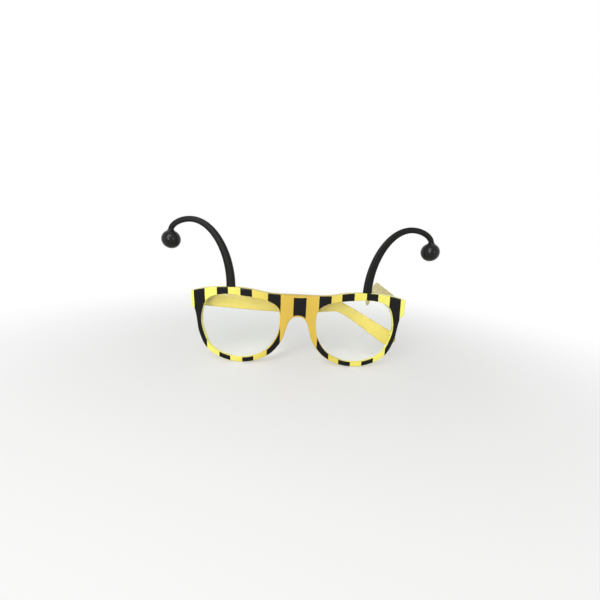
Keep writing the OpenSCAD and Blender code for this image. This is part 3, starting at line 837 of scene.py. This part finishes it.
def stem_surface(rings=180, sides=48):
    """A flattened rod along the centre line. Its section is a rounded oblong (a circle's
    cosine and sine raised to the power SQUARENESS), wide in the plane of the arch, and it
    tapers evenly. The first ring goes down into the brow and the last one into the ball."""
    t = np.linspace(0, 1, rings)
    line = stem_line(t)
    aim = np.gradient(line, axis=0)
    aim /= np.linalg.norm(aim, axis=1, keepdims=True)
    line = np.vstack([line[0] - [0, FOOT_SUNK], line, line[-1] - [0, END_SUNK]])
    aim = np.vstack([[0, 1], aim, [0, -1]])
    taper = np.concatenate([[0], t, [1]])[:, None]
    angle = np.linspace(0, 2 * np.pi, sides, endpoint=False)
    wide, deep = (np.sign(f) * np.abs(f)**SQUARENESS for f in (np.cos(angle), np.sin(angle)))
    wide = wide * (STEM_W + (STEM_TIP - STEM_W) * taper) / 2
    deep = deep * (STEM_D + (STEM_TIP - STEM_D) * taper) / 2
    points = np.stack([line[:, :1] + wide * aim[:, 1:], STEM_Y + deep,
                       line[:, 1:] - wide * aim[:, :1]], -1)
    ids = np.arange(points[..., 0].size).reshape(points.shape[:2])
    caps = [ids[0].tolist(), ids[-1].tolist()]
    return points.reshape(-1, 3), lattice(ids, True).tolist() + caps


def black_plastic(name, code, roughness, gloss, strength):
    """Black moulded plastic with a mould's ripple and a few scuffs."""
    material, tree = new_material(name)
    place = node(tree, "TexCoord").outputs["Object"]
    skin = group_node(tree, SKIN, {"Vector": place})
    shade = node(tree, "MapRange", {"Value": skin["Tone"], "To Min": 0.8, "To Max": 1.25})
    tinted = node(tree, "VectorMath", {0: colour(code)[:3], "Scale": shade.outputs[0]},
                  operation="SCALE")
    rough = node(tree, "MapRange", {"Value": skin["Scuff"], "To Min": roughness,
                                    "To Max": roughness + 0.12})
    bump = node(tree, "Bump", {"Height": skin["Height"], "Strength": strength,
                               "Distance": 0.0003})
    plastic = node(tree, "BsdfPrincipled",
                   {"Base Color": tinted.outputs[0], "Roughness": rough.outputs[0],
                    "Normal": bump.outputs[0], "IOR": 1.49, "Specular IOR Level": gloss})
    node(tree, "OutputMaterial", {"Surface": plastic.outputs[0]})
    return material


stem_plastic = black_plastic("stem_plastic", "#171716", roughness=0.36, gloss=0.12, strength=0.3)
points, faces = stem_surface()
for name, side in (("antenna_stem_right", 1), ("antenna_stem_left", -1)):
    stem = new_piece(name + "_moulding", points * [side, 1, 1], faces, stem_plastic)
    takes_over(stem, "front", name)


# Balls: glossy black mouldings with a short neck that the stem goes into, and the fine
# line where the two halves of the mould met.
NECK_R, NECK_H, NECK_ROUND, NECK_FILLET = 2.2, 0.7, 0.4, 0.12
NECK_LAP = 0.2                  # how far the neck's top reaches into the stem
SEAM_H, SEAM_W = 0.04, 0.16


def ball_profile():
    """Half of the ball's section from the stem to the bottom, as distance from its upright
    axis and height: the neck's flat top, its rounded shoulder, and the sphere."""
    radius = BALL_D / 2 - SEAM_H
    neck_top = np.sqrt(radius**2 - NECK_R**2) + NECK_H
    turn = np.linspace(0, np.pi / 2, 7)
    shoulder = np.array([NECK_R, neck_top]) - NECK_ROUND
    shoulder = shoulder + NECK_ROUND * np.stack([np.sin(turn), np.cos(turn)], -1)
    polar = np.linspace(np.arcsin((NECK_R + NECK_FILLET) / radius), np.pi, 90)
    sphere = radius * np.stack([np.sin(polar), np.cos(polar)], -1)
    return np.vstack([[[STEM_TIP / 2 - NECK_LAP, neck_top]], shoulder, sphere])


def ball_surface(sides=96):
    """The profile turned about the upright, with a narrow ridge along the plane in which
    the two halves of the mould met, where a point is close to that plane."""
    out, rise = ball_profile().T[..., None]
    around = np.linspace(0, 2 * np.pi, sides, endpoint=False)
    x, y = out * np.cos(around), out * np.sin(around)
    ridge = 1 + SEAM_H / (BALL_D / 2) * np.exp(-(y / SEAM_W)**2)
    points = np.stack([BALL_X + x * ridge, STEM_Y + y, BALL_Z + rise * ridge], -1)
    ids = np.arange(x.size).reshape(x.shape)
    return points.reshape(-1, 3), lattice(ids, True).tolist() + [ids[0].tolist()]


ball_plastic = black_plastic("ball_plastic", "#121212", roughness=0.09, gloss=0.25, strength=0.12)
points, faces = ball_surface()
for name, side in (("antenna_ball_right", 1), ("antenna_ball_left", -1)):
    ball = new_piece(name + "_moulding", points * [side, 1, 1], faces, ball_plastic)
    takes_over(ball, "front", name)


bpy.context.scene.view_settings.view_transform = "Standard"
